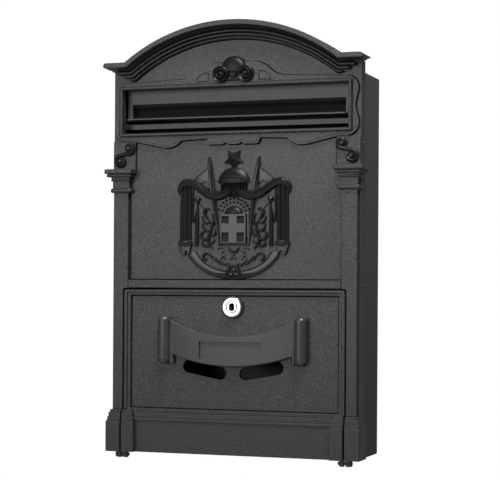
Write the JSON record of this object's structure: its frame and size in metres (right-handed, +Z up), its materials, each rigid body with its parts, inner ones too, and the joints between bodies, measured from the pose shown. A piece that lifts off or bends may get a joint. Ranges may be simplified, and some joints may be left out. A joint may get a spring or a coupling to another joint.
{
  "type": "wall mounted mailbox",
  "caption": "Wall-hung letterbox with an arched cast front, a lifting mail slot flap, and a lockable drop-down door on a folded steel box.",
  "frame": {"origin": "centre of the four wall holes, on the back face", "axes": "+X to the viewer's right, +Y into the wall, +Z up; the front faces -Y"},
  "size_m": [0.259, 0.087, 0.4168],
  "materials": {
    "cast_black": "fine-textured black powder coat on cast aluminium",
    "sheet_black": "smooth semi-gloss black paint on folded steel sheet",
    "flap_black": "semi-gloss black paint",
    "zinc": "zinc plated steel",
    "pin_black": "black painted steel",
    "bezel_black": "gloss black",
    "lock_chrome": "polished chrome plate"
  },
  "bodies": {
    "housing": {"front_casting": "cast_black", "crest_relief": "cast_black", "slot_rosette": "cast_black", "console_scroll_left": "cast_black", "console_scroll_right": "cast_black", "body_shell": "sheet_black", "roof_panel": "sheet_black", "floor_panel": "sheet_black", "mail_guide": "sheet_black", "side_rivets": "sheet_black", "fascia_screws": "zinc", "flap_hinge_rod": "zinc", "rod_clips": "zinc", "hinge_pin_left": "pin_black", "hinge_pin_right": "pin_black"},
    "flap": {"slot_flap": "flap_black"},
    "door": {"door_casting": "cast_black", "nameplate_banner": "cast_black", "banner_screws": "zinc", "lock_bezel": "bezel_black", "lock_housing": "lock_chrome", "lock_nut": "zinc"},
    "lock": {"lock_plug": "lock_chrome", "lock_cam": "zinc", "cam_screw": "zinc"}
  },
  "joints": [
    {"name": "flap_lift", "type": "hinge", "parent": "housing", "child": "flap", "pos_m": [0, -0.0635, 0.183], "axis": [1, 0, 0], "range_deg": [0, 65]},
    {"name": "door_drop", "type": "hinge", "parent": "housing", "child": "door", "pos_m": [0, -0.074, -0.1729], "axis": [1, 0, 0], "range_deg": [0, 100]},
    {"name": "lock_turn", "type": "hinge", "parent": "door", "child": "lock", "pos_m": [0, -0.0756, -0.0296], "axis": [0, -1, 0], "range_deg": [0, 90]}
  ]
}
